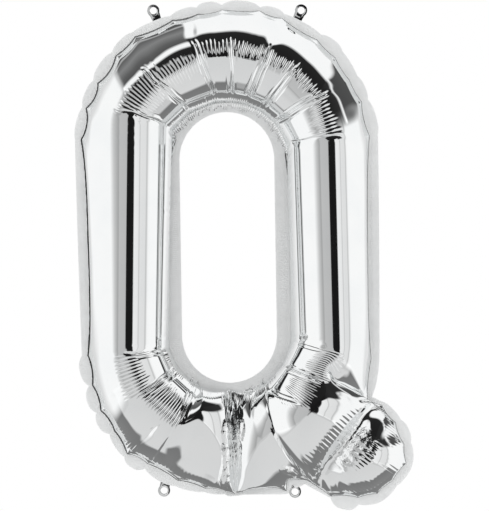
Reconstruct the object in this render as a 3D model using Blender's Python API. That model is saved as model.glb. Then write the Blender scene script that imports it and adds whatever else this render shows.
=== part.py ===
# Letter Q foil balloon, inflated: two sheets of metallised film, welded together round the rim and the counter.
# +Z up, +X to the right of the letter, front towards -Y. The origin is midway between the top tabs' holes.

import math

import bmesh
import bpy
from mathutils import Vector

MM = 0.001

# Film, as solids that are thicker than the real 0.04 mm film. Lengths are in mm from here on.
WALL = 1.6
SEAM_THICK = 1.0
TAB_THICK = 0.7
GAP = 0.3
SEAM_UNDERLAP = 2.5
FOOT = SEAM_THICK / 2 + GAP

# The counter is a long hole with round ends about these centres.
TOP_CENTRE = (-0.1, -107.6)
BOTTOM_CENTRE = (1.8, -233.6)
COUNTER_WELD = (44.3, 41.0)     # half width of the weld line, and its reach past the centres
COUNTER_EDGE = (34.1, 34.4)     # the same for the band's open edge
COUNTER_STEPS = 24              # steps round one of its ends or along one of its sides

# The rim, round from the fold under the counter by way of the tail: the weld line's tip at each pinch, how
# far the line sags inwards after it, steps to the next tip, the width of the band outside the line at the
# tip and halfway to the next one, the tube's half depth, and how far its crest leans to the counter.
RIM = (
    # x, z, sag, steps, notch, lobe, deep, lean
    (4.0, -347.8, 0.2, 3, 1.8, 2.2, 3.4, 1.0),
    (11.1, -346.3, 1.1, 4, 2.4, 3.6, 9.0, 0.9),
    (28.9, -343.4, 1.1, 3, 5.0, 3.6, 17.5, 0.9),
    (42.7, -346.0, 0.2, 2, 2.5, 3.6, 19.7, 1.2),
    (43.4, -337.2, 0.2, 3, 6.4, 6.2, 20.2, 1.3),
    (57.0, -337.8, 0.4, 5, 3.2, 2.4, 20.8, 1.3),
    (74.9, -349.6, 1.1, 4, 1.4, 9.1, 21.5, 1.1),
    (94.3, -350.6, 0.7, 3, 5.0, 6.8, 27.4, 1.0),
    (108.0, -347.8, 0.7, 3, 6.5, 6.5, 29.5, 1.0),
    (118.8, -338.8, 0.7, 4, 4.7, 6.1, 30.2, 1.0),
    (128.9, -325.8, 0.7, 3, 4.7, 6.1, 30.2, 1.0),
    (127.4, -312.1, 1.1, 4, 5.0, 7.2, 29.9, 1.0),
    (121.3, -296.6, 1.1, 4, 4.3, 4.7, 27.8, 1.2),
    (111.6, -284.4, 0.4, 3, 2.9, 3.2, 25.3, 1.5),
    (100.8, -280.4, 0.7, 5, 4.3, 5.8, 24.3, 1.6),
    (103.7, -250.6, 1.9, 8, 6.1, 6.5, 28.6, 1.1),
    (102.5, -90.1, 1.4, 5, 6.3, 7.9, 28.8, 1.1),
    (96.9, -65.9, 0.7, 4, 5.0, 7.6, 27.9, 1.1),
    (88.2, -50.4, 0.7, 4, 6.5, 7.6, 27.4, 1.1),
    (77.8, -34.0, 0.7, 4, 7.0, 8.6, 26.8, 1.1),
    (64.8, -21.2, 1.1, 6, 4.9, 5.8, 26.4, 1.1),
    (39.6, -5.7, 1.1, 4, 3.6, 5.8, 25.8, 1.1),
    (23.5, -0.4, 0.7, 5, 2.7, 7.2, 25.6, 1.1),
    (-3.6, 0.4, 0.9, 4, 3.6, 7.7, 26.2, 1.1),
    (-20.9, -3.0, 1.2, 4, 5.3, 6.9, 26.6, 1.1),
    (-38.9, -7.6, 1.2, 6, 4.2, 5.8, 26.7, 1.1),
    (-65.9, -19.5, 1.0, 4, 4.5, 6.5, 26.4, 1.1),
    (-79.5, -32.8, 2.2, 5, 4.3, 7.2, 26.5, 1.1),
    (-92.4, -52.6, 2.2, 4, 4.5, 6.2, 27.6, 1.0),
    (-100.9, -70.6, 2.2, 5, 3.5, 6.2, 28.0, 1.0),
    (-104.4, -92.9, 2.7, 8, 5.2, 5.3, 28.6, 1.0),
    (-99.6, -248.3, 1.3, 5, 5.0, 8.1, 29.1, 1.1),
    (-96.3, -269.6, 1.3, 4, 3.3, 7.9, 28.1, 1.1),
    (-90.4, -287.8, 1.3, 4, 4.1, 8.3, 27.3, 1.1),
    (-80.6, -302.3, 1.1, 4, 4.8, 5.7, 26.2, 1.1),
    (-71.6, -319.0, 1.1, 4, 3.3, 7.9, 25.5, 1.2),
    (-57.2, -326.0, 1.1, 5, 4.3, 7.0, 25.3, 1.1),
    (-35.6, -338.0, 1.1, 4, 4.7, 4.9, 24.2, 1.1),
    (-15.6, -343.9, 1.1, 4, 2.8, 3.2, 20.0, 1.0),
    (-1.1, -346.3, 0.2, 4, 1.8, 2.5, 12.9, 1.0),
)
STRAIGHT_EXTRA = 1.3            # half depth that the straight sides gain halfway down
LONG_CHORD = 100.0              # a stretch of rim that is longer than this is a straight side
SIDE_FLATNESS = 4.0             # how square the curve of the sag is on a side, elsewhere, and of the scallops
SAG_FLATNESS = 2.2
SCALLOP_FLATNESS = 2.6

# The tail is a lobe beyond its neck, which is the line between the rim's two inward corners.
TAIL_CENTRE = (92.9, -317.9)
TAIL_REACH = 41.0
TAIL_FIRST = 5                  # the corners' rows in RIM
TAIL_LAST = 14
TUBE_ARC = 88.6                 # film from the counter's weld over the tube to the neck or the rim
NECK_DEPTH = 3.6                # half depth in the neck's valley at its ends, and its gain in the middle
NECK_HUMP = 8.5
NECK_DENT = 1.4
NECK_WIDTH = 0.1                # half the valley's width, as a share of the film's arc
TAIL_STEEP = 0.42               # the lobe's half depth for each mm of its reach
TAIL_DEPTH = 16.0
TAIL_SLACK = 1.25               # film over the lobe for each mm of its reach
FULL_LOBE = 14.0                # a lobe that reaches less than this has a shallower valley
ROUNDING = 6                    # power by which two heights that meet are rounded into one

# Pleats across the inner half of the tube, as (x, z) of the middle of each. The film is flat between two.
PLEATS = (
    (42.5, -278.0), (55.5, -261.3), (58.3, -240.4),
    (63.3, -93.2), (55.8, -68.9), (39.2, -55.5), (24.3, -43.5), (2.6, -41.8), (-15.8, -41.6),
    (-44.7, -57.2), (-60.9, -77.6), (-57.2, -244.8), (-47.8, -266.2), (-28.1, -282.2),
)
PLEAT_DEPTH = 1.0
PLEAT_REACH = (0.07, 0.5, 0.66) # shares of the tube's arc where the flats begin, begin to end, and end

# Hanging tabs: name, hole's centre x and z, the angle that the tab points to, and its length to the root.
TABS = (
    # name, x, z, points to, neck
    ("hanging_tab_top_left", -53.1, -0.1, 112, 11.5),
    ("hanging_tab_top_right", 53.4, 0.1, 66, 11.5),
    ("hanging_tab_bottom_left", -45.3, -345.6, 262, 10.6),
    ("hanging_tab_bottom_right", 49.0, -346.5, 278, 8.4),
)
TAB_RADIUS = 4.6
TAB_HOLE_RADIUS = 2.5
TAB_ROOT_HALF = 3.2
TAB_STEPS = 24
TAB_CROWN = -0.7                # cosine of the angle at which the ring runs into the tongue

# Inflation valve: a flat strip of film on the back of the rim's widest scallop, at the tail's foot.
VALVE_CENTRE = (84.6, -354.4)
VALVE_HALF = (4.6, 3.9)

PROFILE_STEPS = 14


def material(name, colour, roughness, metallic):
    made = bpy.data.materials.new(name)
    made.use_nodes = True
    shader = made.node_tree.nodes["Principled BSDF"]
    shader.inputs["Base Color"].default_value = (*colour, 1)
    shader.inputs["Roughness"].default_value = roughness
    shader.inputs["Metallic"].default_value = metallic
    return made


def add_object(name, verts, faces, finish, smooth=40):
    """An object from points in mm, with its faces turned outwards."""
    mesh = bpy.data.meshes.new(name)
    mesh.from_pydata([Vector(point) * MM for point in verts], [], faces)
    shell = bmesh.new()
    shell.from_mesh(mesh)
    bmesh.ops.recalc_face_normals(shell, faces=shell.faces)
    shell.to_mesh(mesh)
    shell.free()
    made = bpy.data.objects.new(name, mesh)
    made.data.materials.append(finish)
    bpy.context.scene.collection.objects.link(made)
    mesh.shade_smooth()
    mesh.set_sharp_from_angle(angle=math.radians(smooth))


def ring_skin(name, sections, finish):
    """A closed skin through closed sections of equal length, the last one joined to the first."""
    size = len(sections[0])
    verts = [point for section in sections for point in section]
    faces = []
    for i in range(len(sections)):
        here = i * size
        after = (i + 1) % len(sections) * size
        for j in range(size):
            k = (j + 1) % size
            faces.append((here + j, here + k, after + k, after + j))
    add_object(name, verts, faces, finish)


def plate(name, outer, inner, y_front, thick, finish):
    """A flat band between two outlines of equal length, each a list of (x, z)."""
    sections = [
        ((xo, y_front, zo), (xo, y_front + thick, zo), (xi, y_front + thick, zi), (xi, y_front, zi))
        for (xo, zo), (xi, zi) in zip(outer, inner)
    ]
    ring_skin(name, sections, finish)


def ease(low, high, value):
    share = max(0.0, min(1.0, (value - low) / (high - low)))
    return share * share * (3 - 2 * share)


def counter_place(x, z):
    """Where a point lies round the counter: at an end with an angle, or beside it with a share of the side."""
    if z >= TOP_CENTRE[1]:
        return "top", math.atan2(z - TOP_CENTRE[1], x - TOP_CENTRE[0])
    if z <= BOTTOM_CENTRE[1]:
        return "bottom", math.atan2(z - BOTTOM_CENTRE[1], x - BOTTOM_CENTRE[0])
    side = -1 if x < 0 else 1
    return side, (z - TOP_CENTRE[1]) / (BOTTOM_CENTRE[1] - TOP_CENTRE[1])


def counter_point(place, value, size, offset=0.0):
    """A point (x, z) on the counter's weld line or edge, or on a line set out from it."""
    wide, high = size
    if place in ("top", "bottom"):
        cx, cz = TOP_CENTRE if place == "top" else BOTTOM_CENTRE
        return cx + (wide + offset) * math.cos(value), cz + (high + offset) * math.sin(value)
    down_x = (BOTTOM_CENTRE[0] - TOP_CENTRE[0]) * value
    down_z = (BOTTOM_CENTRE[1] - TOP_CENTRE[1]) * value
    return TOP_CENTRE[0] + down_x + place * (wide + offset), TOP_CENTRE[1] + down_z


def inwards_from(x, z):
    if x > TAIL_CENTRE[0] - TAIL_REACH and z < TAIL_CENTRE[1] + TAIL_REACH:
        return TAIL_CENTRE
    if z > TOP_CENTRE[1]:
        return TOP_CENTRE
    if z < BOTTOM_CENTRE[1]:
        return BOTTOM_CENTRE
    return TOP_CENTRE[0], z


def rim_columns():
    """One column for each step round the rim: the RIM row, the share of the way to the next, and the point."""
    columns = []
    for row, (x, z, sag, steps, *_) in enumerate(RIM):
        after = RIM[(row + 1) % len(RIM)]
        start, chord = Vector((x, z)), Vector((after[0] - x, after[1] - z))
        normal = Vector((-chord.y, chord.x)).normalized()
        middle = start + chord / 2
        if normal.dot(Vector(inwards_from(*middle)) - middle) < 0:
            normal = -normal
        flatness = SIDE_FLATNESS if chord.length > LONG_CHORD else SAG_FLATNESS
        for step in range(steps):
            share = step / steps
            bow = sag * (1 - abs(2 * share - 1) ** flatness)
            columns.append((row, share, start + chord * share + normal * bow))
    return columns


def rim_edge(columns):
    """The rim's scalloped outer edge, one (x, z) for each column."""
    normals = []
    for row, (x, z, *_) in enumerate(RIM):
        after = RIM[(row + 1) % len(RIM)]
        normals.append(Vector((after[1] - z, x - after[0])).normalized())
    edge = []
    for row, share, _ in columns:
        here, after = RIM[row], RIM[(row + 1) % len(RIM)]
        start_out = (normals[row - 1] + normals[row]).normalized()
        end_out = (normals[row] + normals[(row + 1) % len(RIM)]).normalized()
        if share < 0.5:
            outward = start_out.lerp(normals[row], 2 * share).normalized()
        else:
            outward = normals[row].lerp(end_out, 2 * share - 1).normalized()
        notch = here[4] + (after[4] - here[4]) * share
        lobe = here[5] - (here[4] + after[4]) / 2
        width = notch + lobe * (1 - abs(2 * share - 1) ** SCALLOP_FLATNESS)
        tip = Vector((here[0], here[1])).lerp(Vector((after[0], after[1])), share)
        edge.append(tip + outward * width)
    return edge


def tube_shape(row, share):
    """The half depth and the lean between two pinches."""
    here, after = RIM[row], RIM[(row + 1) % len(RIM)]
    part = ease(0, 1, share)
    deep = here[6] + (after[6] - here[6]) * part
    lean = here[7] + (after[7] - here[7]) * part
    if math.hypot(after[0] - here[0], after[1] - here[1]) > LONG_CHORD:
        deep += STRAIGHT_EXTRA * math.sin(math.pi * share)
    return deep, lean


def film_profiles(columns):
    """The film's outside, one row of (x, height, z) for each column from the counter's weld to the rim's."""
    welds = [Vector(weld) for _, _, weld in columns]
    places = [counter_place(*weld) for weld in welds]
    first = next(i for i, column in enumerate(columns) if column[0] == TAIL_FIRST)
    last = next(i for i, column in enumerate(columns) if column[0] == TAIL_LAST)
    neck_line = welds[last] - welds[first]
    neck_in = Vector((-neck_line.y, neck_line.x)).normalized()
    start, end = places[first][1], places[last][1]
    profiles = []
    for i, (row, share, _) in enumerate(columns):
        deep, lean = tube_shape(row, share)
        along = (i - first) / (last - first)
        in_tail = 0 < along < 1
        place = ("bottom", start + (end - start) * along) if in_tail else places[i]
        inner = Vector(counter_point(*place, COUNTER_WELD))
        neck = welds[i]
        if in_tail:
            neck = welds[first] + neck_line * along + neck_in * NECK_DENT * math.sin(math.pi * along)
        lobe = (welds[i] - neck).length
        neck_share = TUBE_ARC / (TUBE_ARC + TAIL_SLACK * lobe)
        profile = []
        for step in range(PROFILE_STEPS + 1):
            arc = step / PROFILE_STEPS
            tube = min(1.0, arc / neck_share)
            beyond = max(0.0, (arc - neck_share) / (1 - neck_share)) if lobe else 0.0
            across = ((1 - math.cos(math.pi * tube)) / 2) ** lean
            point = inner.lerp(neck, across) + (welds[i] - neck) * (1 - math.cos(math.pi * beyond)) / 2
            high = deep * math.sin(math.pi * tube)
            if in_tail:
                lobe_high = min(TAIL_STEEP * lobe, TAIL_DEPTH) * math.sin(math.pi * beyond)
                hump = NECK_DEPTH + NECK_HUMP * math.sin(math.pi * along)
                valley = hump * math.exp(-(((arc - neck_share) / NECK_WIDTH) ** 2))
                valley *= min(1.0, lobe / FULL_LOBE)
                high = (high ** ROUNDING + lobe_high ** ROUNDING + valley ** ROUNDING) ** (1 / ROUNDING)
            profile.append(Vector((point.x, max(FOOT, high), point.y)))
        profile[0].y = FOOT
        profile[-1].y = FOOT
        profiles.append(profile)
    return profiles


def flatten_between_pleats(profiles):
    """Draws the inner half of the film straight between two pleats, and presses each pleat in."""
    def column_at(x, z):
        middles = [profile[PROFILE_STEPS // 4] for profile in profiles]
        return min(range(len(middles)), key=lambda i: math.hypot(middles[i].x - x, middles[i].z - z))

    begin, fade, stop = PLEAT_REACH
    pleats = sorted(column_at(x, z) for x, z in PLEATS)
    for before, after in zip(pleats, pleats[1:]):
        for step in range(1, PROFILE_STEPS):
            arc = step / PROFILE_STEPS
            weight = ease(0, begin, arc) * (1 - ease(fade, stop, arc))
            for i in range(before + 1, after):
                chord = profiles[before][step].lerp(profiles[after][step], (i - before) / (after - before))
                profiles[i][step] = profiles[i][step].lerp(chord, weight)
    for i in pleats:
        for step in range(2, PROFILE_STEPS // 2):
            profiles[i][step].y -= PLEAT_DEPTH


def sheet(name, side, profiles, finish):
    """One sheet of film, puffed out to its side and open towards the other sheet."""
    sections = []
    for profile in profiles:
        chord = profile[-1] - profile[0]
        direction = chord.normalized()
        outside = [Vector((p.x, side * p.y, p.z)) for p in profile]
        inside = []
        for p in reversed(profile):
            share = (p - profile[0]).dot(direction) / chord.length
            moved = p + direction * WALL * (1 - 2 * max(0.0, min(1.0, share)))
            inside.append(Vector((moved.x, side * max(FOOT, p.y - WALL), moved.z)))
        sections.append(outside + inside)
    ring_skin(name, sections, finish)


def outer_seam(columns, finish):
    outer = rim_edge(columns)
    inner = []
    for edge, (_, _, weld) in zip(outer, columns):
        inner.append(weld + (weld - edge).normalized() * SEAM_UNDERLAP)
    plate("outer_seam", outer, inner, -SEAM_THICK / 2, SEAM_THICK, finish)


def counter_seam(finish):
    places = []
    for step in range(COUNTER_STEPS):
        places.append(("top", math.pi * step / COUNTER_STEPS))
    places += [(-1, step / COUNTER_STEPS) for step in range(COUNTER_STEPS)]
    for step in range(COUNTER_STEPS):
        places.append(("bottom", math.pi * (1 + step / COUNTER_STEPS)))
    places += [(1, 1 - step / COUNTER_STEPS) for step in range(COUNTER_STEPS)]
    edge = [counter_point(*place, COUNTER_EDGE) for place in places]
    foot = [counter_point(*place, COUNTER_WELD, SEAM_UNDERLAP) for place in places]
    plate("counter_seam", foot, edge, -SEAM_THICK / 2, SEAM_THICK, finish)


def hanging_tab(name, x, z, points_to, neck, finish):
    """A ring of film round its hole, on a tongue that is sealed to the back of the rim."""
    hole = Vector((x, z))
    turn = math.radians(points_to)
    outward = Vector((math.cos(turn), math.sin(turn)))
    sideways = Vector((-outward.y, outward.x))
    outer = []
    inner = []
    for step in range(TAB_STEPS):
        spin = 2 * math.pi * step / TAB_STEPS
        ray = outward * math.cos(spin) + sideways * math.sin(spin)
        inner.append(hole + ray * TAB_HOLE_RADIUS)
        rim = hole + ray * TAB_RADIUS
        if math.cos(spin) < TAB_CROWN:
            across = math.sin(spin) / math.sin(math.acos(TAB_CROWN)) * TAB_ROOT_HALF
            rim = hole - outward * neck + sideways * across
        outer.append(rim)
    plate(name, outer, inner, FOOT, TAB_THICK, finish)


def inflation_valve(finish):
    """A flat two-ply strip across the rim, on the back, that the filling straw goes into."""
    x, z = VALVE_CENTRE
    half_x, half_z = VALVE_HALF
    sides = ((-1, -1), (1, -1), (1, 1), (-1, 1))
    corners = [(x + half_x * across, z + half_z * up) for across, up in sides]
    verts = [(cx, y, cz) for y in (FOOT, FOOT + TAB_THICK) for cx, cz in corners]
    faces = [(0, 1, 2, 3), (4, 5, 6, 7)]
    faces += [(k, (k + 1) % 4, (k + 1) % 4 + 4, k + 4) for k in range(4)]
    add_object("inflation_valve", verts, faces, finish)


def main():
    for old in list(bpy.data.objects):
        bpy.data.objects.remove(old)
    film = material("silver_film", (0.86, 0.87, 0.87), 0.08, 1.0)
    seal = material("sealed_rim", (0.84, 0.85, 0.85), 0.2, 1.0)
    plastic = material("valve_film", (0.8, 0.82, 0.82), 0.35, 0.0)
    columns = rim_columns()
    profiles = film_profiles(columns)
    flatten_between_pleats(profiles)
    sheet("front_sheet", -1, profiles, film)
    sheet("back_sheet", 1, profiles, film)
    outer_seam(columns, seal)
    counter_seam(seal)
    for name, x, z, points_to, neck in TABS:
        hanging_tab(name, x, z, points_to, neck, seal)
    inflation_valve(plastic)


main()
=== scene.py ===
# Letter Q foil balloon: mirror film blown up between a rim weld and a counter weld, on a pale studio floor.
# All tables are in millimetres, in the CAD's frame: x to the letter's right, z up, front towards -y.

import math
from collections import namedtuple

import bmesh
import bpy
import numpy as np
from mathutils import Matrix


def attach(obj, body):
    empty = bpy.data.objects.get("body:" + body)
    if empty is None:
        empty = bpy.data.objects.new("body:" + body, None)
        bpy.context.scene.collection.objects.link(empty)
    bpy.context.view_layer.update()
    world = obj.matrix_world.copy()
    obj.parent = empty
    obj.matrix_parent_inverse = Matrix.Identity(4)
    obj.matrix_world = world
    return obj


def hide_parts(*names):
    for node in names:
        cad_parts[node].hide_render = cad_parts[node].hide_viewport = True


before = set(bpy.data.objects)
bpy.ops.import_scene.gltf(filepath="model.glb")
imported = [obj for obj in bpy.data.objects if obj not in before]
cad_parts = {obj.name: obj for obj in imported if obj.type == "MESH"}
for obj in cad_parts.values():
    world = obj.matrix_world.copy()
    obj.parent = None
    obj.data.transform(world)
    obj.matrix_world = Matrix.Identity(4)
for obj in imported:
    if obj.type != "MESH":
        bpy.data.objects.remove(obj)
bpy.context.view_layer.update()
mm = 0.001

# The rim's pinches, round from the fold under the counter by way of the tail: the weld line's tip,
# how far the weld sags inwards after it, mesh columns up to the next tip, and the width of the weld band
# outside the weld line, at the tip and halfway to the next one.
Pinch = namedtuple("Pinch", "x z sag columns notch lobe")
rimPinches = [Pinch(*row) for row in (
    (4.0, -347.8, 0.2, 24, 1.8, 2.2),
    (11.1, -346.3, 1.1, 28, 2.4, 3.6),
    (28.9, -343.4, 1.1, 20, 5.0, 3.6),
    (42.7, -346.0, 0.2, 8, 2.5, 3.6),
    (43.4, -337.2, 0.2, 12, 6.4, 6.2),
    (57.0, -337.8, 0.4, 32, 3.2, 2.4),
    (74.9, -349.6, 1.1, 28, 1.4, 9.1),
    (94.3, -350.6, 0.7, 20, 5.0, 6.8),
    (108.0, -347.8, 0.7, 20, 6.5, 6.5),
    (118.8, -338.8, 0.7, 24, 4.7, 6.1),
    (128.9, -325.8, 0.7, 20, 4.7, 6.1),
    (127.4, -312.1, 1.1, 24, 5.0, 7.2),
    (121.3, -296.6, 1.1, 24, 4.3, 4.7),
    (111.6, -284.4, 0.4, 20, 2.9, 3.2),
    (100.8, -280.4, 0.7, 32, 4.3, 5.8),
    (103.7, -250.6, 1.9, 72, 6.1, 6.5),
    (102.5, -90.1, 1.4, 36, 6.3, 7.9),
    (96.9, -65.9, 0.7, 24, 5.0, 7.6),
    (88.2, -50.4, 0.7, 28, 6.5, 7.6),
    (77.8, -34.0, 0.7, 28, 7.0, 8.6),
    (64.8, -21.2, 1.1, 40, 4.9, 5.8),
    (39.6, -5.7, 1.1, 28, 3.6, 5.8),
    (23.5, -0.4, 0.7, 36, 2.7, 7.2),
    (-3.6, 0.4, 0.9, 24, 3.6, 7.7),
    (-20.9, -3.0, 1.2, 24, 5.3, 6.9),
    (-38.9, -7.6, 1.2, 40, 4.2, 5.8),
    (-65.9, -19.5, 1.0, 28, 4.5, 6.5),
    (-79.5, -32.8, 2.2, 32, 4.3, 7.2),
    (-92.4, -52.6, 2.2, 28, 4.5, 6.2),
    (-100.9, -70.6, 2.2, 32, 3.5, 6.2),
    (-104.4, -92.9, 2.7, 72, 5.2, 5.3),
    (-99.6, -248.3, 1.3, 32, 5.0, 8.1),
    (-96.3, -269.6, 1.3, 28, 3.3, 7.9),
    (-90.4, -287.8, 1.3, 24, 4.1, 8.3),
    (-80.6, -302.3, 1.1, 28, 4.8, 5.7),
    (-71.6, -319.0, 1.1, 24, 3.3, 7.9),
    (-57.2, -326.0, 1.1, 32, 4.3, 7.0),
    (-35.6, -338.0, 1.1, 28, 4.7, 4.9),
    (-15.6, -343.9, 1.1, 24, 2.8, 3.2),
    (-1.1, -346.3, 0.2, 24, 1.8, 2.5),
)]

letter = {
    "topCentre": (-0.1, -107.6),      # the counter's round ends
    "bottomCentre": (1.8, -233.6),
    "counterWeld": (44.3, 41.0),      # half width and end radius of the counter's weld line
    "counterEdge": (34.1, 34.4),      # the same for the open edge of the counter
    "flatTube": 88.6,                 # the tube's width before it was filled
    "tailCentre": (92.9, -317.9),
    "tailCorner": (51.9, -276.9),     # the tail's pinches lie right of this and below it
    "tailFirst": 5,                   # pinches at the two corners of the tail's neck
    "tailLast": 14,
    "tailStretch": 1.3,               # the tail's flat length over its blown-up one
    "neckSag": 1.4,
    "foldPinches": (0, 39),           # the tube is folded between these and the next
    "straight": (0.06, 0.94),         # the part of the counter's side whose weld has few puckers
    "longSide": 60,                   # a stretch with more mesh columns than this is a straight side
    "crowding": 0.62,                 # how far its columns crowd towards both ends
    "bow": (2.2, 4),                  # how square the weld line sags: other stretches, straight sides
    "rows": 72,                       # mesh rows across the tube
}
wholeTube = 0.999                     # a column whose neck lies further out than this has no tail beyond it


def smooth(low, high, value):
    share = np.clip((value - low) / (high - low), 0, 1)
    return share * share * (3 - 2 * share)


def plateau(low, full, falling, high, value):
    return smooth(low, full, value) * (1 - smooth(falling, high, value))


def bell(value, width):
    return np.exp(-((value / width) ** 2))


def lengths(vectors):
    return np.sqrt((vectors**2).sum(0))


def ringSteps(x):
    # the distance from each point to the next one round the ring
    return lengths(np.roll(x, -1, 1) - x)


def spread(values, reach):
    # a running mean round the ring
    padded = np.concatenate([values[-reach:], values, values[:reach]])
    return np.convolve(padded, np.ones(2 * reach + 1) / (2 * reach + 1), "valid")


# The two sheets, flat

def towardsInside(x, z):
    if x > letter["tailCorner"][0] and z < letter["tailCorner"][1]:
        return letter["tailCentre"]
    if z > letter["topCentre"][1]:
        return letter["topCentre"]
    if z < letter["bottomCentre"][1]:
        return letter["bottomCentre"]
    return 0, z


def weldLine(perColumn):
    # points along the weld line, the pinch before each, and the share of the way from it to the next pinch
    points, segments, shares = [], [], []
    for k, pinch in enumerate(rimPinches):
        after = rimPinches[(k + 1) % len(rimPinches)]
        dx, dz = after.x - pinch.x, after.z - pinch.z
        length = math.hypot(dx, dz)
        nx, nz = -dz / length, dx / length
        mx, mz = (pinch.x + after.x) / 2, (pinch.z + after.z) / 2
        cx, cz = towardsInside(mx, mz)
        if nx * (cx - mx) + nz * (cz - mz) < 0:
            nx, nz = -nx, -nz
        long = pinch.columns > letter["longSide"]
        steps = pinch.columns // perColumn
        for step in range(steps):
            t = step / steps
            if long:
                t -= letter["crowding"] * math.sin(2 * math.pi * t) / (2 * math.pi)
            bow = pinch.sag * (1 - abs(2 * t - 1) ** letter["bow"][long])
            points.append((pinch.x + dx * t + nx * bow, pinch.z + dz * t + nz * bow))
            segments.append(k)
            shares.append(t)
    return np.array(points), np.array(segments), np.array(shares)


def counterPoint(place, value, wide, high):
    # on a line round the counter with this half width and end radius
    (tx, tz), (bx, bz) = letter["topCentre"], letter["bottomCentre"]
    if place == "side":
        side, down = value
        return tx + (bx - tx) * down + side * wide, tz + (bz - tz) * down
    cx, cz = (tx, tz) if place == "top" else (bx, bz)
    return cx + wide * math.cos(value), cz + high * math.sin(value)


def counterPlace(x, z):
    (tx, tz), (bx, bz) = letter["topCentre"], letter["bottomCentre"]
    if z >= tz:
        return "top", math.atan2(z - tz, x - tx)
    if z <= bz:
        return "bottom", math.atan2(z - bz, x - bx)
    return "side", (-1 if x < 0 else 1, (z - tz) / (bz - tz))


Sheet = namedtuple("Sheet", "weld inner outer neck neckShare segment flat across straight")


def flatSheet(perColumn, rows):
    weld, segment, _ = weldLine(perColumn)
    places = [counterPlace(*point) for point in weld]
    low, high = letter["straight"]
    straight = np.array([place == "side" and low < value[1] < high for place, value in places])
    first, last = (int(np.argmax(segment == letter[key])) for key in ("tailFirst", "tailLast"))
    start, end = places[first][1], places[last][1]
    for i in range(first, last + 1):
        places[i] = ("bottom", start + (end - start) * (i - first) / (last - first))
    tube = letter["flatTube"]
    wide, high = letter["counterWeld"]
    inner = np.array([counterPoint(*place, wide, high) for place in places])
    outer = np.array([counterPoint(*place, wide + tube, high + tube) for place in places])

    # The tail's flat outline is its blown-up one, scaled from the neck to the flat tube's edge.
    weldNeck = weld[last] - weld[first]
    flatFirst = outer[first].copy()
    flatNeck = outer[last] - flatFirst
    scale = np.linalg.norm(flatNeck) / np.linalg.norm(weldNeck)
    weldAxis, flatAxis = (line / np.linalg.norm(line) for line in (weldNeck, flatNeck))
    weldOut, flatOut = (np.array([axis[1], -axis[0]]) for axis in (weldAxis, flatAxis))
    neck, neckShare = weld.copy(), np.ones(len(weld))
    for i in range(first, last + 1):
        t = (i - first) / (last - first)
        away = weld[i] - weld[first]
        outer[i] = flatFirst + flatAxis * (away @ weldAxis) * scale
        outer[i] += flatOut * (away @ weldOut) * letter["tailStretch"]
        neck[i] = weld[first] + weldNeck * t - weldOut * letter["neckSag"] * math.sin(math.pi * t)
        lobe = np.linalg.norm(outer[i] - (flatFirst + flatNeck * t))
        neckShare[i] = tube / (tube + lobe)
    across = np.linspace(0, 1, rows + 1)
    flat = inner[:, None, :] + (outer - inner)[:, None, :] * across[None, :, None]
    return Sheet(weld, inner, outer, neck, neckShare, segment, flat.transpose(2, 0, 1), across, straight)


def tubeShares(sheet):
    # how far each point lies across the tube: 0 at the counter's weld, 1 at the rim or the tail's neck
    return sheet.across[None, :] / sheet.neckShare[:, None]


def halfEllipse(chord, length, tallest=65.0):
    # the height of half an ellipse over this chord, whose arc has this length
    low, high = np.zeros_like(chord), np.full_like(chord, tallest)
    a = chord / 2
    for _ in range(40):
        middle = (low + high) / 2
        arc = math.pi * (3 * (a + middle) - np.sqrt((3 * a + middle) * (a + 3 * middle))) / 2
        low = np.where(arc < length, middle, low)
        high = np.where(arc < length, high, middle)
    return middle


def ease(share):
    return (1 - np.cos(math.pi * share)) / 2


# The tail's lobe before it is blown up: its height as a share of its length, and at most; the ridge along the
# neck, its width as a share of the sheet, and the lobe's length from which it is full; and how much of the
# flat tube's width the tube takes there
lobeStart = {"high": 0.42, "highest": 16, "ridge": 3.6, "ridgeWidth": 0.06, "ridgeFrom": 14, "tube": 0.98}


def roundedTube(sheet):
    s = sheet.across
    x = np.zeros((3, len(sheet.weld), len(s)), np.float32)
    high = halfEllipse(*(np.linalg.norm(line - sheet.inner, axis=1) for line in (sheet.weld, sheet.outer)))
    plan = sheet.inner[:, None] + (sheet.weld - sheet.inner)[:, None] * ease(s)[None, :, None]
    x[::2] = plan.transpose(2, 0, 1)
    x[1] = -high[:, None] * np.sin(math.pi * s)[None, :]
    for i in np.nonzero(sheet.neckShare < wholeTube)[0]:
        neckAt = sheet.neckShare[i]
        inner, neck, weld = (line[i][:, None] for line in (sheet.inner, sheet.neck, sheet.weld))
        chord = np.array([np.linalg.norm(neck - inner)])
        tubeHigh = halfEllipse(chord, np.array([letter["flatTube"] * lobeStart["tube"]]))[0]
        lobe = np.linalg.norm(weld - neck)
        tubePart = np.clip(s / neckAt, 0, 1)
        lobePart = np.clip((s - neckAt) / (1 - neckAt), 0, 1)
        x[::2, i] = inner + (neck - inner) * ease(tubePart) + (weld - neck) * ease(lobePart)
        ridge = lobeStart["ridge"] * bell(s - neckAt, lobeStart["ridgeWidth"])
        ridge *= min(1, lobe / lobeStart["ridgeFrom"])
        lobeHigh = min(lobeStart["high"] * lobe, lobeStart["highest"]) * np.sin(math.pi * lobePart)
        x[1, i] = -np.maximum(tubeHigh * np.sin(math.pi * tubePart), np.maximum(lobeHigh, ridge))
    return x


# Blowing the film up

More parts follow.
